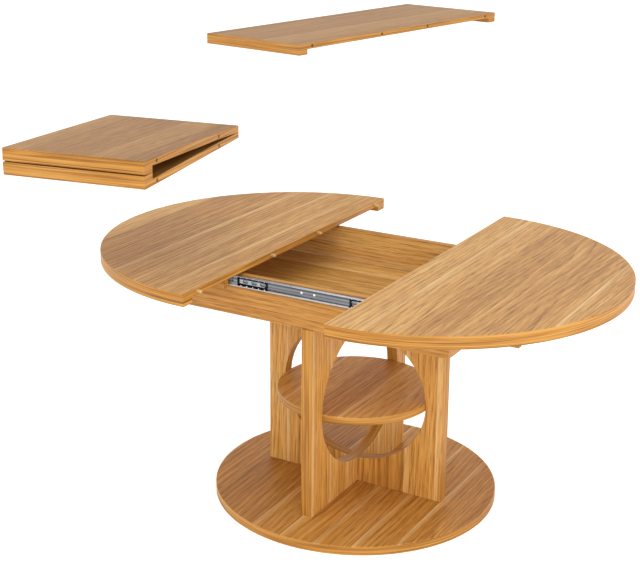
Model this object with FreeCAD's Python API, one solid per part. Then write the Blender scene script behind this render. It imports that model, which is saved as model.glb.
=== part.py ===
import FreeCAD, Part
import math
import os

V = FreeCAD.Vector
UP = V(0, 0, 1)

# Round top, in two halves that slide apart along X (millimetres throughout)
table_height = 775.0
top_diameter = 1200.0
top_panel = 19.0
edge_round = 2.0
opening = 445.0
band_width = 45.0
band_height = 18.0

# Round base plate and the two crossing stand boards
base_diameter = 880.0
base_thickness = 28.0
stand_thickness = 38.0
stand_width = 610.0
bottom_rail = 80.0
hole_width = 492.0
top_rail = 72.0
shelf_thickness = 25.0
seat_gap = 0.3

# Shallow box under the top, where the folded leaf is kept
box_length = 880.0
box_width = 600.0
box_height = 128.0
box_wall = 19.0
box_floor = 19.0
box_clearance = 8.0

# Ball slides on the outside of the box
rail_height = 36.0
rail_sheet = 1.2
rail_step = 1.0
rail_web_height = 16.0
rail_web_slope = 1.5
rail_drop = 1.0
rail_end_gap = 2.0
inner_tail = 13.0
inner_setback = 12.0
inner_stand_off = 0.4
inner_end_hole = 6.0
cage_sheet = 0.8
cage_play = 0.3
cage_length = 240.0
cage_nose = 24.0
cage_slot_length = 20.0
cage_slot_height = 10.0
ball_diameter = 6.0
ball_play = 0.25
cage_slots = 8
balls_in_row = 12

# Runners under each half-top
runner_thickness = 19.0
runner_height = 52.0
runner_setback = 45.0
runner_end_gap = 20.0

# Wooden dowels, pegs and screws
fit_gap = 0.1
overrun = 5.0
dowel_diameter = 10.0
dowel_length = 40.0
dowel_in_floor = 12.0
corner_dowel_diameter = 8.0
corner_dowel_length = 35.0
corner_dowel_in_wall = 10.0
shelf_dowel_length = 44.0
peg_diameter = 10.0
peg_reach = 14.0
peg_seat = 26.0
peg_play = 0.4
peg_hole_spare = 2.0
peg_chamfer = 1.5
base_screw_head = 12.0
base_screw_head_height = 5.0
base_screw_shank = 7.0
base_screw_length = 55.0
base_screw_recess = 1.0
runner_screw_head = 9.0
runner_screw_head_height = 3.0
runner_screw_shank = 4.5
runner_screw_length = 45.0
rail_screw_head = 7.0
rail_screw_head_height = 0.8
rail_screw_shank = 3.5
rail_screw_length = 15.0
middle_screw_spacing = 42.0

# Folding leaf, hinged across its middle on the underside
leaf_width = 440.0
leaf_panel = 19.0
batten_width = 45.0
batten_height = 18.0
leaf_joint = 0.4
batten_gap = 0.6
hinge_length = 50.0
hinge_plate_width = 28.0
hinge_plate = 1.5
knuckle_diameter = 7.0
hinge_pin = 4.0
pin_play = 0.06
knuckle_gap = 0.25
groove_play = 0.4

# Where the two leaves are shown, lifted clear of the table
flat_leaf_x, flat_leaf_y, flat_leaf_z = -606.0, 1114.0, 1300.0
flat_leaf_turn = -10.5
shut_leaf_x, shut_leaf_y, shut_leaf_z = -538.0, -424.0, 1140.0
shut_leaf_turn = 8.9

# Places along a piece, as shares of its length
stand_fixing_shares = (0.3, 0.82)
corner_dowel_shares = (0.35, 0.75)
peg_shares = (-0.883, -0.233, 0.233, 0.883)
runner_screw_shares = (0.1, 0.5, 0.9)
inner_screw_shares = (0.13, 0.38, 0.74)
rail_end_screw_share = 0.45
hinge_shares = (-0.28, 0.28)
knuckle_share = 0.36
ball_span_share = 0.93

# Angles in degrees, from straight down round each ball, that the inner rail's races cover
race_in = 23.0
race_out = 78.0

# Heights and places that follow from the sizes above
top_radius = top_diameter / 2
panel_under = table_height - top_panel
box_top = panel_under - box_clearance
box_bottom = box_top - box_height
box_end = box_length / 2
box_face = box_width / 2
stand_reach = stand_width / 2
hole_height = box_bottom - base_thickness - bottom_rail - top_rail
hole_middle = base_thickness + bottom_rail + hole_height / 2
rail_middle = box_top - rail_drop - rail_height / 2
race_radius = ball_diameter / 2 + ball_play
curl_radius = race_radius + rail_sheet
ball_row = rail_height / 2 - curl_radius
ball_depth = rail_step + curl_radius
rail_depth = ball_depth + curl_radius
inner_face = rail_depth + inner_stand_off
inner_web = ball_row - race_radius * math.cos(math.radians(race_out))
cage_back = rail_step + rail_sheet + cage_play
cage_front = ball_depth + race_radius - cage_play
runner_outside = box_face + inner_face + runner_thickness
band_inside = top_radius - band_width
runner_length = math.sqrt(band_inside ** 2 - runner_outside ** 2) - runner_setback - runner_end_gap
inner_length = runner_setback + runner_length - inner_setback - inner_tail
leaf_half = top_diameter / 2
half_open = opening / 2


def block(x0, x1, y0, y1, z0, z1):
    """Box between two corners, given as low and high values on each axis."""
    return Part.makeBox(x1 - x0, y1 - y0, z1 - z0, V(x0, y0, z0))


def rod(diameter, length, start, along):
    return Part.makeCylinder(diameter / 2, length, start, along)


def across(shape):
    """The same piece on the far side of the table."""
    return shape.mirror(V(0, 0, 0), V(0, 1, 0))


def opposite(shape):
    """The same piece for the other half-top or the other end of the box."""
    return shape.mirror(V(0, 0, 0), V(1, 0, 0))


def moved(shape, x):
    copy = shape.copy()
    copy.translate(V(x, 0, 0))
    return copy


def group(shapes):
    return Part.makeCompound(shapes)


def save(name, shape):
    shape.exportStep(os.path.join("parts", name + ".step"))


def rounded(shape, wanted):
    """Rounds over the edges that the test picks out."""
    edges = [edge for edge in shape.Edges if wanted(edge)]
    return shape.makeFillet(edge_round, edges)


def at_height(edge, z):
    return abs(edge.BoundBox.ZMin - z) < fit_gap and abs(edge.BoundBox.ZMax - z) < fit_gap


def screw(seat, along, head, head_height, shank, length, play=0.0):
    """A screw whose head sits with its underside at seat; play makes the hole for it."""
    top = seat - along * head_height
    body = rod(head + 2 * play, head_height, top, along)
    return body.fuse(rod(shank + 2 * play, length + play, seat, along)).removeSplitter()


def dowel_hole(diameter, length, start, along):
    """Blind hole for a dowel, a little longer than the dowel at both ends."""
    return rod(diameter + 2 * fit_gap, length + 2 * fit_gap, start - along * fit_gap, along)


def arms():
    """The four directions in which the stand boards reach out from the middle."""
    return [V(1, 0, 0), V(-1, 0, 0), V(0, 1, 0), V(0, -1, 0)]


def base_fixings(play=0.0):
    seat = base_screw_recess + base_screw_head_height
    shapes = []
    for arm in arms():
        for share in stand_fixing_shares:
            place = arm * (share * stand_reach) + V(0, 0, seat)
            shapes.append(screw(place, UP, base_screw_head, base_screw_head_height,
                                base_screw_shank, base_screw_length, play))
    return shapes


def box_fixings(hole=False):
    make = dowel_hole if hole else rod
    start = box_bottom + dowel_in_floor - dowel_length
    shapes = []
    for arm in arms():
        for share in stand_fixing_shares:
            place = arm * (share * stand_reach) + V(0, 0, start)
            shapes.append(make(dowel_diameter, dowel_length, place, UP))
    return shapes


def shelf_fixings(hole=False):
    make = dowel_hole if hole else rod
    start = (hole_width - shelf_dowel_length) / 2
    level = V(0, 0, hole_middle)
    return [make(dowel_diameter, shelf_dowel_length, level + arm * start, arm) for arm in arms()]


def base_plate():
    plate = Part.makeCylinder(base_diameter / 2, base_thickness)
    plate = rounded(plate, lambda edge: at_height(edge, base_thickness))
    for hole in base_fixings(fit_gap):
        recess = rod(base_screw_head + 2 * fit_gap, base_screw_recess + overrun,
                     V(hole.BoundBox.Center.x, hole.BoundBox.Center.y, -overrun), UP)
        plate = plate.cut(hole).cut(recess)
    return plate


def oval_cutter(depth):
    """Oval bar along Y, as wide and high as the opening, centred on the board."""
    longer, shorter = max(hole_width, hole_height), min(hole_width, hole_height)
    rim = Part.Ellipse(V(0, 0, 0), longer / 2, shorter / 2).toShape()
    face = Part.Face(Part.Wire([rim]))
    if hole_height > hole_width:
        face.rotate(V(0, 0, 0), UP, 90)
    face.rotate(V(0, 0, 0), V(1, 0, 0), 90)
    face.translate(V(0, depth / 2, hole_middle))
    return face.extrude(V(0, -depth, 0))


def stand_board(lap_low):
    """One stand board along X with its oval opening; the two boards lap at the middle of both rails."""
    half = stand_thickness / 2
    board = block(-stand_reach, stand_reach, -half, half, base_thickness, box_bottom)
    board = board.cut(oval_cutter(stand_thickness + 2 * overrun))
    is_rim = lambda edge: edge.BoundBox.XLength > fit_gap and edge.BoundBox.ZLength > bottom_rail
    is_end = lambda edge: abs(edge.BoundBox.XMin) > stand_reach - fit_gap and edge.BoundBox.YLength < fit_gap
    board = rounded(board, lambda edge: is_rim(edge) or is_end(edge))
    low_middle = base_thickness + bottom_rail / 2
    high_middle = box_bottom - top_rail / 2
    slot = half + fit_gap
    if lap_low:
        spans = [(base_thickness - overrun, low_middle), (hole_middle, high_middle)]
    else:
        spans = [(low_middle, hole_middle), (high_middle, box_bottom + overrun)]
    for z0, z1 in spans:
        board = board.cut(block(-slot, slot, -half - overrun, half + overrun, z0, z1))
    return board


def stand_boards():
    along = stand_board(False)
    over = stand_board(True)
    over.rotate(V(0, 0, 0), UP, 90)
    holes = group(base_fixings(fit_gap) + box_fixings(True) + shelf_fixings(True))
    return along.cut(holes), over.cut(holes)


def round_shelf():
    radius = hole_width / 2 - seat_gap
    disc = Part.makeCylinder(radius, shelf_thickness, V(0, 0, hole_middle - shelf_thickness / 2))
    high = hole_middle + shelf_thickness / 2
    low = hole_middle - shelf_thickness / 2
    disc = rounded(disc, lambda edge: at_height(edge, high) or at_height(edge, low))
    return disc.cut(group(shelf_fixings(True)))


def corner_fixings(hole=False):
    """Dowels that join the long walls to the end walls."""
    make = dowel_hole if hole else rod
    shapes = []
    for sx in (-1, 1):
        for sy in (-1, 1):
            for share in corner_dowel_shares:
                start = V(sx * (box_end - box_wall / 2), sy * (box_face - box_wall + corner_dowel_in_wall),
                          box_bottom + share * box_height)
                shapes.append(make(corner_dowel_diameter, corner_dowel_length, start, V(0, -sy, 0)))
    return shapes


def rail_screw_places():
    middle = middle_screw_spacing / 2
    end = rail_end_screw_share * box_length
    return (-end, -middle, middle, end)


def rail_screws(play=0.0):
    """Screws through the near outer rail into the near long wall."""
    seat = -box_face - rail_sheet
    return [screw(V(x, seat, rail_middle), V(0, 1, 0), rail_screw_head, rail_screw_head_height,
                  rail_screw_shank, rail_screw_length, play) for x in rail_screw_places()]


def box_walls():
    side = block(-box_end, box_end, -box_face, -box_face + box_wall, box_bottom, box_top)
    side = side.cut(group(rail_screws(fit_gap) + corner_fixings(True)))
    inside = box_face - box_wall
    end = block(-box_end, -box_end + box_wall, -inside, inside, box_bottom, box_top)
    end = end.cut(group(corner_fixings(True)))
    deep = box_end - box_wall
    floor = block(-deep, deep, -inside, inside, box_bottom, box_bottom + box_floor)
    return side, end, floor.cut(group(box_fixings(True)))


def slide_bar(points, x0, x1):
    """Bar along X; section points are distance out from the near wall and height above the slide's middle."""
    corners = [V(x0, -box_face - out, rail_middle + high) for out, high in points]
    section = Part.Face(Part.makePolygon(corners + corners[:1]))
    return section.extrude(V(x1 - x0, 0, 0))


def tube_sector(x0, x1, low, high):
    """Part of a tube along X round the upper balls, between two angles from straight down, outwards."""
    middle = V(x0, -box_face - ball_depth, rail_middle + ball_row)
    angles = [math.radians(angle) for angle in (low, (low + high) / 2, high)]
    outside, inside = [[middle - V(0, math.sin(angle), math.cos(angle)) * radius for angle in angles]
                       for radius in (curl_radius, race_radius)]
    rim = [Part.Arc(*outside).toShape(), Part.makeLine(outside[2], inside[2]),
           Part.Arc(*reversed(inside)).toShape(), Part.makeLine(inside[0], outside[0])]
    return Part.Face(Part.Wire(rim)).extrude(V(x1 - x0, 0, 0))


def upside_down(shape):
    """The same form for the lower row of balls."""
    return shape.mirror(V(0, 0, rail_middle), UP)


def outer_rail():
    """Rolled channel on the near wall: a web set back to the wall and two races curled over the balls."""
    x0, x1 = rail_end_gap - box_end, box_end - rail_end_gap
    flat = rail_web_height / 2
    bend = flat + rail_web_slope
    ledge = rail_step + rail_sheet
    half_web = slide_bar([(0, 0), (0, flat), (rail_step, bend), (rail_step, ball_row),
                          (ledge, ball_row), (ledge, bend), (rail_sheet, flat), (rail_sheet, 0)], x0, x1)
    upper = half_web.fuse(tube_sector(x0, x1, 90, 270))
    rail = upper.fuse(upside_down(upper)).removeSplitter()
    return rail.cut(group(rail_screws(fit_gap)))


def inner_screw_places():
    return [-inner_setback - share * inner_length for share in inner_screw_shares]


def inner_screws(play=0.0):
    """Screws from inside the near inner rail into the runner, half-top pushed home."""
    seat = -box_face - inner_face + rail_sheet
    return [screw(V(x, seat, rail_middle), V(0, -1, 0), rail_screw_head, rail_screw_head_height,
                  rail_screw_shank, rail_screw_length, play) for x in inner_screw_places()]


def inner_rail():
    """Channel on the runner whose two edges are rolled into races under and over the balls."""
    x0, x1 = -inner_setback - inner_length, -inner_setback
    back = inner_face - rail_sheet
    web = slide_bar([(back, -inner_web), (inner_face, -inner_web),
                     (inner_face, inner_web), (back, inner_web)], x0, x1)
    race = tube_sector(x0, x1, -race_in, race_out)
    rail = web.fuse([race, upside_down(race)]).removeSplitter()
    bare_middle = -(inner_setback + runner_setback) / 2
    end_hole = rod(inner_end_hole, rail_sheet + 2 * overrun,
                   V(bare_middle, -box_face - inner_face - overrun, rail_middle), V(0, 1, 0))
    return rail.cut(group(inner_screws(fit_gap) + [end_hole]))


def cage_ends():
    """Ends of the ball cage with the half-top pushed home; it moves half as far as the top."""
    return -cage_nose - cage_length, -cage_nose


def ball_places():
    x0, x1 = cage_ends()
    middle = (x0 + x1) / 2
    span = cage_length * ball_span_share
    step = span / (balls_in_row - 1)
    places = []
    for i in range(balls_in_row):
        for z in (rail_middle - ball_row, rail_middle + ball_row):
            places.append(V(middle - span / 2 + i * step, -box_face - ball_depth, z))
    return places


def cage_slot(middle):
    """Slot with round ends through the back of the cage."""
    round_end = cage_slot_height / 2
    flat = cage_slot_length / 2 - round_end
    back = -box_face - cage_back + overrun
    depth = cage_sheet + 2 * overrun
    x0, x1 = middle - flat, middle + flat
    slot = block(x0, x1, back - depth, back, rail_middle - round_end, rail_middle + round_end)
    return slot.fuse([rod(cage_slot_height, depth, V(x, back, rail_middle), V(0, -1, 0)) for x in (x0, x1)])


def ball_cage():
    """Folded strip between the rails, slotted along its back, its edges combed to take the balls."""
    x0, x1 = cage_ends()
    outside = ball_row + cage_sheet / 2
    inside = ball_row - cage_sheet / 2
    fold = cage_back + cage_sheet
    cage = slide_bar([(cage_back, -outside), (cage_front, -outside), (cage_front, -inside), (fold, -inside),
                      (fold, inside), (cage_front, inside), (cage_front, outside), (cage_back, outside)], x0, x1)
    pitch = cage_length / cage_slots
    slots = [cage_slot(x0 + (i + 1 / 2) * pitch) for i in range(cage_slots)]
    pocket = ball_diameter + 2 * fit_gap
    pockets = [rod(pocket, pocket, place - UP * (pocket / 2), UP) for place in ball_places()]
    return cage.cut(group(slots)).cut(group(pockets))


def balls():
    return [Part.makeSphere(ball_diameter / 2, place) for place in ball_places()]


def runner_screws(play=0.0):
    """Screws driven up through the near runner, half-top pushed home."""
    y = -box_face - inner_face - runner_thickness / 2
    seat = panel_under + top_panel * 2 / 3 - runner_screw_length
    places = [-runner_setback - share * runner_length for share in runner_screw_shares]
    return [screw(V(x, y, seat), UP, runner_screw_head, runner_screw_head_height,
                  runner_screw_shank, runner_screw_length, play) for x in places]


def runner():
    y = -box_face - inner_face
    low = panel_under - runner_height
    x1 = -runner_setback
    batten = block(x1 - runner_length, x1, y - runner_thickness, y, low, panel_under)
    for hole in runner_screws(fit_gap):
        way_in = rod(runner_screw_head + 2 * fit_gap, hole.BoundBox.ZMin - low + overrun + fit_gap,
                     V(hole.BoundBox.Center.x, hole.BoundBox.Center.y, low - overrun), UP)
        batten = batten.cut(hole).cut(way_in)
    return batten.cut(group(inner_screws(fit_gap)))


def half_disc(radius, z, height):
    """Half of a disc on the left of the split."""
    disc = Part.makeCylinder(radius, height, V(0, 0, z), UP, 180)
    disc.rotate(V(0, 0, 0), UP, 90)
    return disc


def half_panel():
    panel = half_disc(top_radius, panel_under, top_panel)
    rim = lambda edge: at_height(edge, table_height) and edge.BoundBox.XLength > fit_gap
    panel = rounded(panel, rim)
    screws = runner_screws(fit_gap)
    return panel.cut(group(screws + [across(hole) for hole in screws]))


def edge_band():
    ring = half_disc(top_radius, panel_under - band_height, band_height)
    inner = half_disc(band_inside, panel_under - band_height - overrun, band_height + 2 * overrun)
    ring = ring.cut(inner)
    low = panel_under - band_height
    rim = lambda edge: at_height(edge, low) and edge.BoundBox.YLength > top_diameter - band_width
    return rounded(ring, rim)


def peg(start, along):
    """Wooden peg with a chamfered tip."""
    straight = peg_seat + peg_reach - peg_chamfer
    radius = peg_diameter / 2
    tip = Part.makeCone(radius, radius - peg_chamfer, peg_chamfer, start + along * straight, along)
    return rod(peg_diameter, straight, start, along).fuse(tip).removeSplitter()


def split_pegs(along, y_values, z, x=0.0):
    return [peg(V(x, y, z) - along * peg_seat, along) for y in y_values]


def peg_seats(along, y_values, z, x=0.0):
    return [dowel_hole(peg_diameter, peg_seat, V(x, y, z) - along * peg_seat, along) for y in y_values]


def peg_sockets(along, y_values, z, x=0.0):
    depth = peg_reach + peg_hole_spare
    return [rod(peg_diameter + 2 * peg_play, depth + overrun, V(x, y, z) + along * depth, along * -1)
            for y in y_values]


def make_stand():
    save("base_plate", base_plate())
    save("base_screws", group(base_fixings()))
    along, over = stand_boards()
    save("stand_board_long", along)
    save("stand_board_cross", over)
    save("round_shelf", round_shelf())
    save("shelf_dowels", group(shelf_fixings()))
    side, end, floor = box_walls()
    save("box_side_near", side)
    save("box_side_far", across(side))
    save("box_end_left", end)
    save("box_end_right", opposite(end))
    save("box_floor", floor)
    save("box_corner_dowels", group(corner_fixings()))
    save("box_dowels", group(box_fixings()))
    save("outer_rail_near", outer_rail())
    save("outer_rail_far", across(outer_rail()))
    screws = rail_screws()
    save("outer_rail_screws", group(screws + [across(one) for one in screws]))


def make_half(side):
    """One half-top with its runners, inner rails and ball cages, drawn apart as in use."""
    turn = (lambda shape: shape) if side == "left" else opposite
    sign = -1 if side == "left" else 1
    place = lambda shape: moved(turn(shape), sign * half_open)
    carried = lambda shape: moved(turn(shape), sign * half_open / 2)
    panel = half_panel()
    peg_y = [share * top_radius for share in peg_shares]
    peg_z = table_height - top_panel / 2
    if side == "left":
        panel = panel.cut(group(peg_seats(V(1, 0, 0), peg_y, peg_z)))
        save("left_pegs", place(group(split_pegs(V(1, 0, 0), peg_y, peg_z))))
    else:
        panel = panel.cut(group(peg_sockets(V(-1, 0, 0), peg_y, peg_z)))
    save(side + "_top_panel", place(panel))
    save(side + "_edge_band", place(edge_band()))
    save(side + "_runner_near", place(runner()))
    save(side + "_runner_far", place(across(runner())))
    save(side + "_inner_rail_near", place(inner_rail()))
    save(side + "_inner_rail_far", place(across(inner_rail())))
    for name, screws in (("runner_screws", runner_screws()), ("inner_rail_screws", inner_screws())):
        save(side + "_" + name, place(group(screws + [across(one) for one in screws])))
    save(side + "_ball_cage_near", carried(ball_cage()))
    save(side + "_ball_cage_far", carried(across(ball_cage())))
    save(side + "_balls", carried(group(balls() + [across(one) for one in balls()])))


def leaf_panel_half():
    """Near half of the leaf, its top face at zero height and the fold at y = 0."""
    half = leaf_width / 2
    panel = block(-half, half, -leaf_half, -leaf_joint / 2, -leaf_panel, 0)
    panel = rounded(panel, lambda edge: at_height(edge, 0) and edge.BoundBox.YMax < -leaf_joint)
    y_values = [share * leaf_half for share in peg_shares if share < 0]
    middle = -leaf_panel / 2
    panel = panel.cut(group(peg_seats(V(-1, 0, 0), y_values, middle, -half)))
    panel = panel.cut(group(peg_sockets(V(-1, 0, 0), y_values, middle, half)))
    for share in hinge_shares:
        x = share * leaf_width
        reach = hinge_length / 2 + groove_play
        groove = rod(knuckle_diameter + 2 * groove_play, 2 * reach,
                     V(x - reach, 0, -leaf_panel), V(1, 0, 0))
        pocket = block(x - reach, x + reach, -hinge_plate_width - groove_play, 0,
                       -leaf_panel - overrun, -leaf_panel + hinge_plate)
        panel = panel.cut(groove).cut(pocket)
    return panel


def leaf_batten():
    half = leaf_width / 2
    low = -leaf_panel - batten_height
    batten = block(-half, half, -leaf_half, -leaf_half + batten_width, low, -leaf_panel)
    return rounded(batten, lambda edge: at_height(edge, low) and edge.BoundBox.YMax < edge_round - leaf_half)


def hinge_leaf(x, own, other):
    """Plate let in flush under the near half, its own knuckles round the pin and room for the other's."""
    start = x - hinge_length / 2
    axis = lambda along: V(start + along, 0, -leaf_panel)
    plate = block(start, start + hinge_length, -hinge_plate_width, 0,
                  -leaf_panel, -leaf_panel + hinge_plate)
    for first, last in other:
        plate = plate.cut(rod(knuckle_diameter + 2 * groove_play, last - first + 2 * knuckle_gap,
                              axis(first - knuckle_gap), V(1, 0, 0)))
    for first, last in own:
        plate = plate.fuse(rod(knuckle_diameter, last - first, axis(first), V(1, 0, 0)))
    bore = rod(hinge_pin + 2 * pin_play, hinge_length + 2 * overrun, axis(-overrun), V(1, 0, 0))
    return plate.cut(bore).removeSplitter()


def leaf_pieces():
    """All pieces of the leaf, laid flat, as near and far halves with the pins on their own."""
    outer = hinge_length * knuckle_share
    pair = [(0, outer - knuckle_gap), (hinge_length - outer + knuckle_gap, hinge_length)]
    single = [(outer, hinge_length - outer)]
    places = [share * leaf_width for share in hinge_shares]
    y_values = [share * leaf_half for share in peg_shares if share < 0]
    pegs = group(split_pegs(V(-1, 0, 0), y_values, -leaf_panel / 2, -leaf_width / 2))
    near = {"panel": leaf_panel_half(), "batten": leaf_batten(), "pegs": pegs,
            "hinge_plates": group([hinge_leaf(x, pair, single) for x in places])}
    far = {"panel": across(leaf_panel_half()), "batten": across(leaf_batten()), "pegs": across(pegs),
           "hinge_plates": across(group([hinge_leaf(x, single, pair) for x in places]))}
    pins = group([rod(hinge_pin, hinge_length, V(x - hinge_length / 2, 0, -leaf_panel), V(1, 0, 0))
                  for x in places])
    return near, far, pins


def make_flat_leaf():
    """The leaf opened flat."""
    near, far, pins = leaf_pieces()
    pieces = {"near_" + name: shape for name, shape in near.items()}
    pieces.update({"far_" + name: shape for name, shape in far.items()})
    pieces["hinge_pins"] = pins
    for name, shape in pieces.items():
        shape.rotate(V(0, 0, 0), UP, flat_leaf_turn)
        shape.translate(V(flat_leaf_x, flat_leaf_y, flat_leaf_z))
        save("flat_leaf_" + name, shape)


def make_shut_leaf():
    """The leaf folded underside to underside, its fold at the far end, batten resting on batten."""
    near, far, pins = leaf_pieces()
    wedge = math.degrees(math.atan((batten_height + batten_gap / 2) / (leaf_half - batten_width)))
    axis = V(0, 0, -leaf_panel)
    for shape in near.values():
        shape.rotate(axis, V(1, 0, 0), -wedge)
    for shape in far.values():
        shape.rotate(axis, V(1, 0, 0), wedge - 180)
    pieces = {"upper_" + name: shape for name, shape in near.items()}
    pieces.update({"lower_" + name: shape for name, shape in far.items()})
    pieces["hinge_pins"] = pins
    for name, shape in pieces.items():
        shape.translate(V(0, leaf_half / 2, 0))
        shape.rotate(V(0, 0, 0), UP, shut_leaf_turn)
        shape.translate(V(shut_leaf_x, shut_leaf_y, shut_leaf_z))
        save("shut_leaf_" + name, shape)
    print("fold angle of the shut leaf: %.3f degrees" % (180 - 2 * wedge))


os.makedirs("parts", exist_ok=True)
make_stand()
make_half("left")
make_half("right")
make_flat_leaf()
make_shut_leaf()
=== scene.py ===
import bpy
import math
from collections import namedtuple
from mathutils import Matrix, Vector


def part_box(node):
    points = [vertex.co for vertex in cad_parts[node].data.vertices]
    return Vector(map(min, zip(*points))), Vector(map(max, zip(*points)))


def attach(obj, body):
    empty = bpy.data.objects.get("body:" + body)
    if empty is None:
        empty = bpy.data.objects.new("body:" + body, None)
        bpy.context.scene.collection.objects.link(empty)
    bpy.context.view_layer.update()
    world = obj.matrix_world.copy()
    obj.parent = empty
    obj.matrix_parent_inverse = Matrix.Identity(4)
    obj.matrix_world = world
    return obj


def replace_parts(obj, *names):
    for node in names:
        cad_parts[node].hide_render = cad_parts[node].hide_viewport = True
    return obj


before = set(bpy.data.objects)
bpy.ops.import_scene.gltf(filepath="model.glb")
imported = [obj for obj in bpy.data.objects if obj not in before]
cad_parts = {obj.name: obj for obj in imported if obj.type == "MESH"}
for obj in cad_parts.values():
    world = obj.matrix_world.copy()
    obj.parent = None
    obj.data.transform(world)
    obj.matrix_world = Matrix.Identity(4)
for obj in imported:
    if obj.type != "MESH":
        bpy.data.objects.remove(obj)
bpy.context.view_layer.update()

X, Y, Z = range(3)
WHITE = (1, 1, 1, 1)
BLACK = (0, 0, 0, 1)

# The photograph's view: place in metres, angles in degrees, picture in pixels
PICTURE_WIDTH = 640
FOCAL_PIXELS = 1336.7
SENSOR_MM = 36.0
CAMERA_PLACE = (1.8142, -3.4086, 1.9701)
CAMERA_TILT = 73.71
CAMERA_TURN = 31.27
CAMERA_SHIFT = (0.053, -0.097)

# Floor and light: sizes in metres, each lamp with its name, place, size and watts
FLOOR_SIZE = 60.0
FLOOR_PAINT = (0.9, 0.9, 0.9, 1)
FLOOR_ROUGHNESS = 0.9
FLOOR_GLOW = 0.42
WORLD_STRENGTH = 1.0
BACKDROP_STRENGTH = 1.0
LAMP_AIM = (0, 0, 0.5)
LAMPS = (("key", (-0.8, -2.6, 4.2), 3.0, 38.0),
         ("front", (2.4, -3.0, 0.9), 2.4, 36.0),
         ("left", (-2.7, -2.6, 1.0), 2.4, 12.0),
         ("fill", (3.4, -1.2, 1.2), 3.0, 28.0),
         ("back", (1.5, 3.5, 3.5), 3.0, 18.0))

# How the two loose leaves are turned, and where their middles and the middles of their hinge lines are
FLAT_LEAF = {"turn": -10.5, "middle": (-0.606, 1.114, 1.300), "hinge": (-0.606, 1.114, 1.281)}
SHUT_LEAF = {"turn": 8.9, "middle": (-0.538, -0.424, 1.140), "hinge": (-0.584413, -0.127612, 1.121)}

# Cross-recessed screws: the node, its body, the way the heads face, head height and shank in metres
SCREWS = (("outer_rail_screws", "stand", "out", 0.0008, 0.0035),
          ("base_screws", "stand", "down", 0.0050, 0.0070),
          ("left_runner_screws", "left_top", "down", 0.0030, 0.0045),
          ("right_runner_screws", "right_top", "down", 0.0030, 0.0045),
          ("left_inner_rail_screws", "left_top", "in", 0.0008, 0.0035),
          ("right_inner_rail_screws", "right_top", "in", 0.0008, 0.0035))

# Screws in the leaves' hinge plates, in metres, and the turn and tilt of each half leaf's plates, in degrees
HINGE_PLACES = (-0.1232, 0.1232)
HINGE_SCREW_SIDES = (-0.016, 0.016)
HINGE_SCREW_SETBACK = 0.017
HINGE_HEAD = 0.0070
HINGE_HEAD_HEIGHT = 0.0009
HINGE_HEAD_PROUD = 0.0003
HINGE_SHANK = 0.0030
HINGE_SCREW_LENGTH = 0.013
HALF_TURN = 180
FOLD_SLOPE = 3.777
HINGE_PLATES = (("flat_leaf_near", "flat_leaf", FLAT_LEAF, 0, HALF_TURN),
                ("flat_leaf_far", "flat_leaf_flap", FLAT_LEAF, HALF_TURN, HALF_TURN),
                ("shut_leaf_upper", "shut_leaf_flap", SHUT_LEAF, 0, HALF_TURN),
                ("shut_leaf_lower", "shut_leaf", SHUT_LEAF, HALF_TURN, -FOLD_SLOPE))

# Shapes shared by all screws
HEAD_SIDES = 28
RECESS_TURNS = (0, 90)
RECESS_SPAN_SHARE = 0.56
RECESS_WIDTH_SHARE = 0.15
RECESS_DEPTH_SHARE = 0.55
RIM_SHARE = 0.35
RIM_STEPS = 3
POINT_SHARE = 0.12
TIP_SHARE = 0.15
END_FACE_NORMAL = 0.5
SMOOTH_ANGLE = 35
MERGE_DISTANCE = 1e-6


def linear(hex_colour):
    """A screen colour such as C49A6C as linear red, green, blue and alpha."""
    channels = [int(hex_colour[i:i + 2], 16) / 255 for i in (0, 2, 4)]
    return tuple(c / 12.92 if c <= 0.04045 else ((c + 0.055) / 1.055) ** 2.4 for c in channels) + (1.0,)


class Socket:
    """A shader socket that takes part in Python sums."""

    def __init__(self, nodes, output):
        self.nodes = nodes
        self.output = output

    def math(self, operation, *others, clamp=False):
        return self.nodes.node("ShaderNodeMath", {"operation": operation, "use_clamp": clamp}, self, *others)

    def clamped(self):
        return self.math("MULTIPLY", 1.0, clamp=True)

    def __add__(self, other):
        return self.math("ADD", other)

    def __sub__(self, other):
        return self.math("SUBTRACT", other)

    def __rsub__(self, other):
        return self.nodes.node("ShaderNodeMath", {"operation": "SUBTRACT"}, other, self)

    def __mul__(self, other):
        return self.math("MULTIPLY", other)

    def __truediv__(self, other):
        return self.math("DIVIDE", other)

    __radd__ = __add__
    __rmul__ = __mul__


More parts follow.
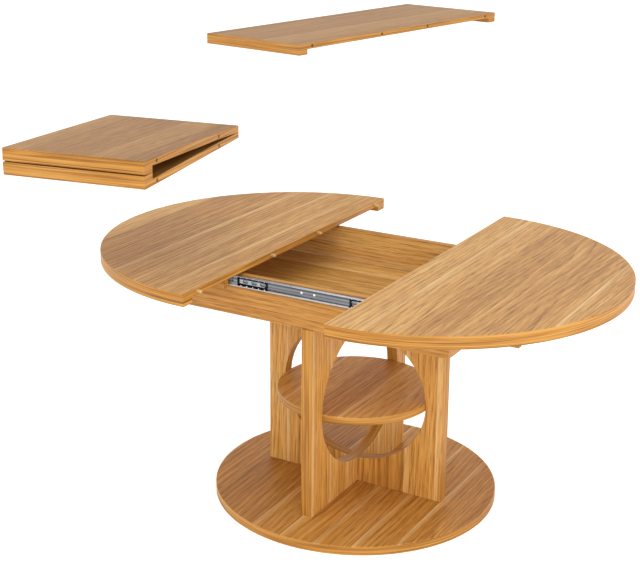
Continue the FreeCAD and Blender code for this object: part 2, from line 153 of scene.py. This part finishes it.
class Nodes:
    """The shader nodes of a material or of the world."""

    def __init__(self, tree):
        self.tree = tree

    def node(self, kind, settings, *values, out=0, numbered=None, **named):
        """Adds one node: settings first, then the values or links of its sockets."""
        made = self.tree.nodes.new(kind)
        for key, value in settings.items():
            if key == "stops":
                self.set_stops(made.color_ramp, value)
            else:
                setattr(made, key, value)
        slots = dict(enumerate(values))
        slots.update(numbered or {})
        slots.update({word.replace("_", " "): value for word, value in named.items()})
        for slot, value in slots.items():
            self.feed(made.inputs[slot], value)
        return Socket(self, made.outputs[out])

    def feed(self, socket, value):
        if isinstance(value, Socket):
            self.tree.links.new(value.output, socket)
        else:
            socket.default_value = value

    def set_stops(self, ramp, stops):
        while len(ramp.elements) < len(stops):
            ramp.elements.new(1.0)
        for element, (place, colour) in zip(ramp.elements, stops):
            element.position = place
            element.color = colour

    def seen_rays(self):
        """One where rays see the surface, straight or in a shine, and zero where it only gives light."""
        path = self.node("ShaderNodeLightPath", {}).output.node
        seen = Socket(self, path.outputs["Is Camera Ray"])
        for kind in ("Is Glossy Ray", "Is Transmission Ray"):
            seen = seen.math("MAXIMUM", Socket(self, path.outputs[kind]))
        return seen

    def mix(self, share, first, second, blend="MIX"):
        """Two colours mixed, by the numbers of the node's colour sockets, whose names aren't unique."""
        settings = {"data_type": "RGBA", "blend_type": blend}
        return self.node("ShaderNodeMix", settings, out=2, numbered={0: share, 6: first, 7: second})


class Finish(Nodes):
    """A material with a Principled shader, built up from nodes."""

    def __init__(self, name, **constants):
        self.made = bpy.data.materials.new(name)
        self.made.use_nodes = True
        super().__init__(self.made.node_tree)
        self.shader = self.tree.nodes["Principled BSDF"]
        for socket, value in constants.items():
            self.set(socket.replace("_", " "), value)

    def set(self, socket, value):
        self.feed(self.shader.inputs[socket], value)

    def ramp(self, value, stops):
        return self.node("ShaderNodeValToRGB", {"stops": stops}, value)

    def vector(self, x, y, z):
        return self.node("ShaderNodeCombineXYZ", {}, x, y, z)

    def split(self, vector):
        made = self.node("ShaderNodeSeparateXYZ", {}, vector)
        return [Socket(self, output) for output in made.output.node.outputs]

    def chance(self, vector):
        """A steady random value for each whole-number place."""
        return self.node("ShaderNodeTexWhiteNoise", {"noise_dimensions": "3D"}, Vector=vector)

    def grain(self, pattern, along, across, through, tone=None):
        """Noise stretched to a pattern, and shifted along it for each plank by the plank's tone."""
        run = along * pattern.along
        if tone is not None:
            run = run + tone * pattern.shift
        place = self.vector(run, across * pattern.across, through * pattern.through)
        return self.node("ShaderNodeTexNoise", {}, Vector=place, Scale=1.0, Detail=pattern.detail,
                         Roughness=pattern.roughness)

    def places(self, leaf=None):
        """Object coordinates, turned back about the upright for a leaf that lies turned."""
        place = self.node("ShaderNodeTexCoord", {}, out="Object")
        if not leaf:
            return place
        return self.node("ShaderNodeVectorRotate", {"rotation_type": "Z_AXIS"}, Vector=place,
                         Center=leaf["middle"], Angle=-math.radians(leaf["turn"]))

    def normals(self):
        return self.node("ShaderNodeTexCoord", {}, out="Normal")

    def bump(self, height, strength, distance):
        self.set("Normal", self.node("ShaderNodeBump", {}, Strength=strength, Distance=distance, Height=height))


# Patterns: waves per metre each way, detail and roughness, and how far a plank's tone shifts them
Pattern = namedtuple("Pattern", "along across through detail roughness shift", defaults=(0.55, 0.0))
RING_WANDER = Pattern(0.7, 4.0, 4.0, 1.5, 0.35, 9.0)
STREAKS = Pattern(2.4, 95.0, 95.0, 5.0, 0.62, 31.0)
FINE_GRAIN = Pattern(6.0, 300.0, 300.0, 3.0, 0.6, 13.0)
PORES = Pattern(16.0, 300.0, 300.0, 2.5, 0.6, 7.0)
EDGE_LINES = Pattern(2.0, 2.0, 330.0, 4.0, 0.6)
EDGE_DRIFT = Pattern(5.0, 5.0, 60.0, 2.0)
BEECH_GRAIN = Pattern(20.0, 500.0, 500.0, 3.0)
DRAWN_LINES = Pattern(4.0, 700.0, 700.0, 3.0)
METAL_CLOUDS = Pattern(30.0, 30.0, 30.0, 2.0)

# The part of a pattern's range over which its colours change
TONE_LOW = 0.30
TONE_MIDDLE = 0.50
TONE_HIGH = 0.70


def tones(*colours):
    """Colour stops from the darkest to the lightest."""
    step = (TONE_HIGH - TONE_LOW) / (len(colours) - 1)
    return [(TONE_LOW + step * i, linear(colour)) for i, colour in enumerate(colours)]


# Oak laminate: tones of its faces and edges, of its pores and seams, and of the pale wood beside some seams
FACE_TONES = tones("A06C33", "C89553", "DDB472")
LEAF_TONES = tones("81531F", "A37338", "B88D51")
# Warmer oak tones for the shelf, stand and box end: partly their own warmer colour, partly painted light, made
# lighter for the shade under the top
WARM_PAINTED_LIGHT_TONES = tones("A46B25", "D09445", "E4B265")
BOX_TONES = tones("96611F", "BF843A", "D5A259")
# Lighter tones for the box's floor and far side: painted light, making up for the shade inside the box
PAINTED_LIGHT_TONES = tones("B57F38", "DEA95C", "EFC27C")
EDGE_TONES = tones("82510F", "B57B31", "C99549")
GRAIN_COLOUR = linear("5C3610")
PALE_COLOUR = linear("EBCB95")

# Planks and the seams between them, in metres, and the place from which each plank's tone is drawn
PLANK_WIDTH = 0.105
SEAM_WIDTH = 0.0016
PLANK_DRAW = 0.5

# Growth rings: how far they wander, and how far a plank's tone moves them across and through it
RINGS_PER_METRE = 62.0
RING_BEND = 15.0
RING_START = 17.0
RING_LIFT = 1.25

# How strongly each pattern shows in the oak's colour, and from which level on
STREAK_SHARE = 0.52
FINE_SHARE = 0.48
PLANK_SHARE = 0.20
LATE_WOOD_SHARE = 0.08
EDGE_LINE_SHARE = 1.25
EDGE_DRIFT_SHARE = 0.40
PORE_LEVEL = 0.42
PORE_CONTRAST = 4.6
PORE_LATE_SHARE = 0.72
PORE_EVEN_SHARE = 0.32
GRAIN_SHARE = 0.72
SEAM_SHARE = 0.22
PALE_WIDTH_SHARE = 0.20
PALE_LEVEL = 0.36
PATCH_CONTRAST = 2.0
PATCH_LEVEL = 0.45
FACE_NORMAL = 0.6

# The oak's sheen and its bumps, their depth in metres
OAK_SHINE = 0.3
OAK_ROUGHNESS = 0.42
OAK_ROUGHNESS_SPREAD = 0.14
FINE_BUMP = 0.3
PORE_BUMP = 0.7
SEAM_BUMP = 0.6
OAK_BUMP = 0.3
OAK_BUMP_DEPTH = 0.0006


def oak_board(name, along, across, through, stops, leaf, seed, pale_share):
    """Oak laminate board: planks with rings and pores on its wide faces, fine running lines on its edges."""
    oak = Finish(name, Specular_IOR_Level=OAK_SHINE)
    place = oak.split(oak.places(leaf))
    a, c, t = place[along], place[across], place[through] + seed
    planks = c / PLANK_WIDTH + seed
    tone = oak.chance(oak.vector(planks.math("FLOOR"), seed, PLANK_DRAW))
    wander = oak.grain(RING_WANDER, a, c, t + tone * RING_LIFT, tone)
    rings = (c * RINGS_PER_METRE + wander * RING_BEND + tone * RING_START).math("FRACT")
    late_wood = rings * rings * rings
    streaks = oak.grain(STREAKS, a, c, t, tone)
    fine = oak.grain(FINE_GRAIN, a, c, t, tone)
    shade = streaks * STREAK_SHARE + fine * FINE_SHARE + (tone - TONE_MIDDLE) * PLANK_SHARE
    face = oak.ramp(shade - late_wood * LATE_WOOD_SHARE, stops)
    lines = oak.grain(EDGE_LINES, a, c, t) * EDGE_LINE_SHARE + oak.grain(EDGE_DRIFT, a, c, t) * EDGE_DRIFT_SHARE
    edge = oak.ramp(lines - (EDGE_LINE_SHARE + EDGE_DRIFT_SHARE - 1) * TONE_MIDDLE, EDGE_TONES)
    is_face = oak.split(oak.normals())[through].math("ABSOLUTE").math("GREATER_THAN", FACE_NORMAL)
    colour = oak.mix(is_face, edge, face)
    pores = (oak.grain(PORES, a, c, t, tone) - PORE_LEVEL) * PORE_CONTRAST
    grain = (pores * (late_wood * PORE_LATE_SHARE + PORE_EVEN_SHARE)).clamped() * is_face
    colour = oak.mix(grain * GRAIN_SHARE, colour, GRAIN_COLOUR)
    spot = planks.math("FRACT")
    pale = (1.0 - spot / PALE_WIDTH_SHARE).clamped() * tone.math("GREATER_THAN", PALE_LEVEL) * is_face
    patches = (streaks * PATCH_CONTRAST - PATCH_LEVEL).clamped()
    colour = oak.mix(pale * patches * pale_share, colour, PALE_COLOUR)
    seam = spot.math("GREATER_THAN", 1 - SEAM_WIDTH / PLANK_WIDTH) * is_face
    colour = oak.mix(seam * SEAM_SHARE, colour, GRAIN_COLOUR)
    oak.set("Base Color", colour)
    oak.set("Roughness", OAK_ROUGHNESS + fine * OAK_ROUGHNESS_SPREAD)
    oak.bump(fine * FINE_BUMP - grain * PORE_BUMP - seam * SEAM_BUMP, OAK_BUMP, OAK_BUMP_DEPTH)
    return oak.made


# Bare wood of the pegs and dowels, the depth of its bumps in metres
BEECH_TONES = tones("BC8D52", "DAB77E")
BEECH_ROUGHNESS = 0.55
BEECH_ROUGHNESS_SPREAD = 0.1
BEECH_BUMP = 0.2
BEECH_BUMP_DEPTH = 0.0003


def turned_beech(name):
    """Pale bare wood of the pegs and dowels, grain along X."""
    beech = Finish(name)
    grain = beech.grain(BEECH_GRAIN, *beech.split(beech.places()))
    beech.set("Base Color", beech.ramp(grain, BEECH_TONES))
    beech.set("Roughness", BEECH_ROUGHNESS + grain * BEECH_ROUGHNESS_SPREAD)
    beech.bump(grain, BEECH_BUMP, BEECH_BUMP_DEPTH)
    return beech.made


# Painted shade on the rolled rails and the cages, as tone at shares of their height, from below: darker in the
# rails' grooves, on the recessed web seen through the cage slots, and along the cages' lower and upper edges
RAIL_PAINTED_SHADE_BANDS = ((0.00, 1.0), (0.12, 1.0), (0.16, 0.24), (0.22, 0.40), (0.38, 0.36), (0.42, 0.14), (0.47, 0.36),
              (0.58, 0.46), (0.64, 0.22), (0.78, 0.16), (0.84, 0.70), (1.00, 0.9))
CAGE_PAINTED_SHADE_BANDS = ((0.00, 0.04), (0.24, 0.04), (0.27, 1.0), (0.68, 1.0), (0.71, 0.04), (1.00, 0.04))

# The dark bars at the ends of a cage, in metres, and the sheen and bumps of all metal
CAGE_BLACK = "1E1F21"
CAGE_END = 0.009
METAL_LINE_SHARE = 0.6
METAL_CLOUD_SHARE = 0.4
METAL_ROUGHNESS_SPREAD = 0.14
METAL_BUMP = 0.15
METAL_BUMP_DEPTH = 0.0002


def drawn_metal(name, dark, light, roughness, node=None, painted_shade_bands=(), end_bar=0):
    """Plated steel with faint drawing lines along X, and with painted shade in darker bands by height where a
    node is given.
    """
    metal = Finish(name, Metallic=1.0)
    x, y, z = metal.split(metal.places())
    lines = metal.grain(DRAWN_LINES, x, y, z)
    clouds = metal.grain(METAL_CLOUDS, x, y, z)
    colour = metal.ramp(lines * METAL_LINE_SHARE + clouds * METAL_CLOUD_SHARE, tones(dark, light))
    if node:
        low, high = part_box(node)
        # Painted shade: darker bands by height, multiplied into the colour
        painted_shade_greys = [(share, (tone, tone, tone, 1)) for share, tone in painted_shade_bands]
        height = (z - low.z) / (high.z - low.z)
        colour = metal.mix(1.0, colour, metal.ramp(height, painted_shade_greys), "MULTIPLY")
    if node and end_bar:
        from_middle = (x - (low.x + high.x) / 2).math("ABSOLUTE")
        bar = from_middle.math("GREATER_THAN", (high.x - low.x) / 2 - end_bar)
        colour = metal.mix(bar, colour, linear(CAGE_BLACK))
    metal.set("Base Color", colour)
    metal.set("Roughness", roughness + lines * METAL_ROUGHNESS_SPREAD)
    metal.bump(lines, METAL_BUMP, METAL_BUMP_DEPTH)
    return metal.made


# Oak boards: the ways along, across and through the grain, tones, leaf, seed and the share of pale wood
PALE_SHARE = 0.80
BASE_PALE_SHARE = 0.60
LEAF_PALE_SHARE = 0.20
BOARDS = {"oak_top": (Y, X, Z, FACE_TONES, None, 0.0, PALE_SHARE),
          "oak_base": (Y, X, Z, BOX_TONES, None, 3.1, BASE_PALE_SHARE),
          # The shelf, stand and box end take the warm tones, lightened as painted light where they lie in shade
          # under the top
          "oak_shelf": (Y, X, Z, WARM_PAINTED_LIGHT_TONES, None, 9.4, PALE_SHARE),
          "oak_box_side": (X, Z, Y, BOX_TONES, None, 5.3, PALE_SHARE),
          "oak_box_end": (Y, Z, X, WARM_PAINTED_LIGHT_TONES, None, 6.7, PALE_SHARE),
          # The box's far side and floor take lighter tones as painted light for the shade inside the box
          "oak_box_far_side_painted_light": (X, Z, Y, PAINTED_LIGHT_TONES, None, 5.9, PALE_SHARE),
          "oak_box_floor_painted_light": (X, Y, Z, PAINTED_LIGHT_TONES, None, 8.2, PALE_SHARE),
          "oak_stand_long": (Z, X, Y, WARM_PAINTED_LIGHT_TONES, None, 11.3, PALE_SHARE),
          "oak_stand_cross": (Z, Y, X, WARM_PAINTED_LIGHT_TONES, None, 2.9, PALE_SHARE),
          "oak_flat_leaf": (Y, X, Z, LEAF_TONES, FLAT_LEAF, 4.4, LEAF_PALE_SHARE),
          "oak_shut_leaf": (Y, X, Z, LEAF_TONES, SHUT_LEAF, 7.6, LEAF_PALE_SHARE),
          "oak_flat_batten": (X, Y, Z, LEAF_TONES, FLAT_LEAF, 4.4, LEAF_PALE_SHARE),
          "oak_shut_batten": (X, Y, Z, LEAF_TONES, SHUT_LEAF, 7.6, LEAF_PALE_SHARE)}

# Metals: dark and light tone, roughness, and for banded ones the node, its bands of painted shade and its end
# bars
METALS = {"zinc_sheet": ("767A80", "A9ADB4", 0.34),
          "zinc_rail": ("A5A8AD", "C9CCD1", 0.30, "outer_rail_near", RAIL_PAINTED_SHADE_BANDS),
          "left_cage_steel_painted_shade": ("8C9095", "B4B7BB", 0.36, "left_ball_cage_near", CAGE_PAINTED_SHADE_BANDS, CAGE_END),
          "right_cage_steel_painted_shade": ("8C9095", "B4B7BB", 0.36, "right_ball_cage_near", CAGE_PAINTED_SHADE_BANDS, CAGE_END),
          "ball_steel": ("BFC3C8", "E8EBEE", 0.14),
          "bright_screw": ("D0D3D6", "F0F2F4", 0.16)}

# The finish of each node, by the first of these words that its name holds
NODE_FINISHES = {"balls": "ball_steel",
                 "left_ball_cage": "left_cage_steel_painted_shade",
                 "right_ball_cage": "right_cage_steel_painted_shade",
                 "screws": "bright_screw",
                 "hinge": "zinc_sheet",
                 "rail": "zinc_rail",
                 "pegs": "beech_dowel",
                 "dowels": "beech_dowel",
                 "flat_leaf_near_batten": "oak_flat_batten",
                 "flat_leaf_far_batten": "oak_flat_batten",
                 "shut_leaf_lower_batten": "oak_shut_batten",
                 "shut_leaf_upper_batten": "oak_shut_batten",
                 "flat_leaf": "oak_flat_leaf",
                 "shut_leaf": "oak_shut_leaf",
                 "stand_board_long": "oak_stand_long",
                 "stand_board_cross": "oak_stand_cross",
                 "box_floor": "oak_box_floor_painted_light",
                 "box_end": "oak_box_end",
                 "box_side_far": "oak_box_far_side_painted_light",
                 "box_side": "oak_box_side",
                 "runner": "oak_box_side",
                 "base_plate": "oak_base",
                 "round_shelf": "oak_shelf",
                 "top_panel": "oak_top",
                 "edge_band": "oak_top"}


def dress_nodes():
    """Gives every node its finish and sets the screws."""
    made = {name: oak_board(name, *values) for name, values in BOARDS.items()}
    made.update({name: drawn_metal(name, *values) for name, values in METALS.items()})
    made["beech_dowel"] = turned_beech("beech_dowel")
    for name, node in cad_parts.items():
        finish = next(finish for word, finish in NODE_FINISHES.items() if word in name)
        node.data.materials.clear()
        node.data.materials.append(made[finish])
    add_screws(made["bright_screw"])
    add_hinge_screws(made["bright_screw"])


def select_only(piece):
    bpy.ops.object.select_all(action="DESELECT")
    piece.select_set(True)
    bpy.context.view_layer.objects.active = piece


def edit_faces(piece, wanted):
    """Edit mode on a piece with just the wanted faces selected."""
    select_only(piece)
    bpy.ops.object.mode_set(mode="EDIT")
    bpy.ops.mesh.select_mode(type="FACE")
    bpy.ops.mesh.select_all(action="DESELECT")
    bpy.ops.object.mode_set(mode="OBJECT")
    for face in piece.data.polygons:
        face.select = wanted(face)
    bpy.ops.object.mode_set(mode="EDIT")


def cut_away(piece, cutter):
    """Takes the cutter's shape out of a piece and deletes the cutter."""
    select_only(piece)
    hollow = piece.modifiers.new("recess", "BOOLEAN")
    hollow.operation = "DIFFERENCE"
    hollow.solver = "EXACT"
    hollow.object = cutter
    bpy.ops.object.modifier_apply(modifier=hollow.name)
    bpy.data.objects.remove(cutter)


def cross_screw(head, head_height, shank, length):
    """One screw pointing down, the face of its head at zero height."""
    bpy.ops.mesh.primitive_cylinder_add(vertices=HEAD_SIDES, radius=head / 2, depth=head_height,
                                        location=(0, 0, -head_height / 2))
    screw = bpy.context.object
    bpy.ops.object.transform_apply(location=True)
    point = length * POINT_SHARE
    edit_faces(screw, lambda face: face.normal.z < -END_FACE_NORMAL)
    bpy.ops.mesh.inset(thickness=(head - shank) / 2)
    bpy.ops.mesh.extrude_region_move(TRANSFORM_OT_translate={"value": (0, 0, head_height + point - length)})
    bpy.ops.mesh.extrude_region_move(TRANSFORM_OT_translate={"value": (0, 0, -point)})
    bpy.ops.transform.resize(value=(TIP_SHARE, TIP_SHARE, 1), center_override=(0, 0, -length))
    bpy.ops.object.mode_set(mode="OBJECT")
    edit_faces(screw, lambda face: face.normal.z > END_FACE_NORMAL)
    bpy.ops.mesh.bevel(offset=head_height * RIM_SHARE, segments=RIM_STEPS)
    bpy.ops.object.mode_set(mode="OBJECT")
    for turn in RECESS_TURNS:
        bpy.ops.mesh.primitive_cube_add(size=1, rotation=(0, 0, math.radians(turn)))
        blade = bpy.context.object
        span, width = head * RECESS_SPAN_SHARE, head * RECESS_WIDTH_SHARE
        blade.scale = (span, width, head_height * RECESS_DEPTH_SHARE * 2)
        bpy.ops.object.transform_apply(rotation=True, scale=True)
        cut_away(screw, blade)
    return screw


def separate_boxes(node):
    """Lowest and highest corners of each separate solid in a CAD node."""
    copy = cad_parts[node].copy()
    copy.data = copy.data.copy()
    bpy.context.scene.collection.objects.link(copy)
    select_only(copy)
    bpy.ops.object.mode_set(mode="EDIT")
    bpy.ops.mesh.select_all(action="SELECT")
    bpy.ops.mesh.remove_doubles(threshold=MERGE_DISTANCE)
    bpy.ops.mesh.separate(type="LOOSE")
    bpy.ops.object.mode_set(mode="OBJECT")
    boxes = []
    for part in list(bpy.context.selected_objects):
        corners = [vertex.co for vertex in part.data.vertices]
        ends = [[pick(corner[i] for corner in corners) for i in (X, Y, Z)] for pick in (min, max)]
        boxes.append([Vector(end) for end in ends])
        bpy.data.objects.remove(part)
    return boxes


def head_way(facing, middle):
    """Unit vector out of a screw's head, which faces down, out of the slide or into it."""
    if facing == "down":
        return Vector((0, 0, -1))
    outwards = math.copysign(1, middle.y)
    return Vector((0, outwards if facing == "out" else -outwards, 0))


def set_screws(name, body, model, places, metal):
    """Copies of one screw at their places, joined into one piece on a body."""
    copies = []
    for place in places:
        copy = model.copy()
        copy.data = model.data.copy()
        copy.data.transform(place)
        bpy.context.scene.collection.objects.link(copy)
        copies.append(copy)
    bpy.data.objects.remove(model)
    select_only(copies[0])
    for copy in copies:
        copy.select_set(True)
    bpy.ops.object.join()
    bpy.ops.object.shade_smooth_by_angle(angle=math.radians(SMOOTH_ANGLE))
    screws = bpy.context.object
    screws.name = name
    screws.data.materials.append(metal)
    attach(screws, body)
    return screws


def add_screws(metal):
    """Screws with cross recesses in place of the plain ones."""
    for node, body, facing, head_height, shank in SCREWS:
        boxes = separate_boxes(node)
        low, high = boxes[0]
        head, _, length = sorted(high - low)
        places = []
        for low, high in boxes:
            middle = (low + high) / 2
            way = head_way(facing, middle)
            turned = way.to_track_quat("Z", "X").to_matrix().to_4x4()
            places.append(Matrix.Translation(middle + way * (length / 2)) @ turned)
        model = cross_screw(head, head_height, shank, length)
        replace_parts(set_screws("cross_" + node, body, model, places, metal), node)


def add_hinge_screws(metal):
    """Four small screws in each leaf half, two through each hinge plate."""
    for name, body, leaf, flip, tilt in HINGE_PLATES:
        seat = (Matrix.Translation(leaf["hinge"]) @ Matrix.Rotation(math.radians(leaf["turn"] + flip), 4, "Z")
                @ Matrix.Rotation(math.radians(tilt), 4, "X"))
        places = [seat @ Matrix.Translation((hinge + side, HINGE_SCREW_SETBACK, HINGE_HEAD_PROUD))
                  for hinge in HINGE_PLACES for side in HINGE_SCREW_SIDES]
        model = cross_screw(HINGE_HEAD, HINGE_HEAD_HEIGHT, HINGE_SHANK, HINGE_SCREW_LENGTH)
        set_screws("cross_" + name + "_hinge_screws", body, model, places, metal)


def add_camera():
    bpy.ops.object.camera_add(location=CAMERA_PLACE,
                              rotation=(math.radians(CAMERA_TILT), 0, math.radians(CAMERA_TURN)))
    camera = bpy.context.object
    camera.data.sensor_width = SENSOR_MM
    camera.data.lens = FOCAL_PIXELS / PICTURE_WIDTH * SENSOR_MM
    camera.data.shift_x, camera.data.shift_y = CAMERA_SHIFT
    bpy.context.scene.camera = camera


def add_floor():
    """Plain pale floor that keeps the shadow and reads as white in the picture."""
    bpy.ops.mesh.primitive_plane_add(size=FLOOR_SIZE, location=(0, 0, 0))
    floor = bpy.context.object
    floor.name = "floor"
    paint = Finish("floor_paint", Base_Color=FLOOR_PAINT, Roughness=FLOOR_ROUGHNESS, Specular_IOR_Level=0.0)
    paint.set("Emission Color", paint.mix(paint.seen_rays(), BLACK, WHITE))
    paint.set("Emission Strength", FLOOR_GLOW)
    floor.data.materials.append(paint.made)


def add_world():
    """Even light from all round, in front of a white backdrop."""
    world = bpy.data.worlds.new("studio")
    bpy.context.scene.world = world
    world.use_nodes = True
    studio = Nodes(world.node_tree)
    light = world.node_tree.nodes["Background"]
    studio.feed(light.inputs["Color"], WHITE)
    studio.feed(light.inputs["Strength"], WORLD_STRENGTH)
    backdrop = studio.node("ShaderNodeBackground", {}, Color=WHITE, Strength=BACKDROP_STRENGTH)
    even = Socket(studio, light.outputs[0])
    shown = studio.node("ShaderNodeMixShader", {}, studio.seen_rays(), even, backdrop)
    studio.feed(world.node_tree.nodes["World Output"].inputs["Surface"], shown)


def add_lamps():
    for name, place, size, power in LAMPS:
        aim = Vector(LAMP_AIM) - Vector(place)
        bpy.ops.object.light_add(type="AREA", location=place, rotation=aim.to_track_quat("-Z", "Y").to_euler())
        lamp = bpy.context.object
        lamp.name = name
        lamp.data.size = size
        lamp.data.energy = power


bpy.ops.object.select_all(action="DESELECT")
bpy.context.scene.view_settings.view_transform = "Standard"
dress_nodes()
add_camera()
add_floor()
add_world()
add_lamps()
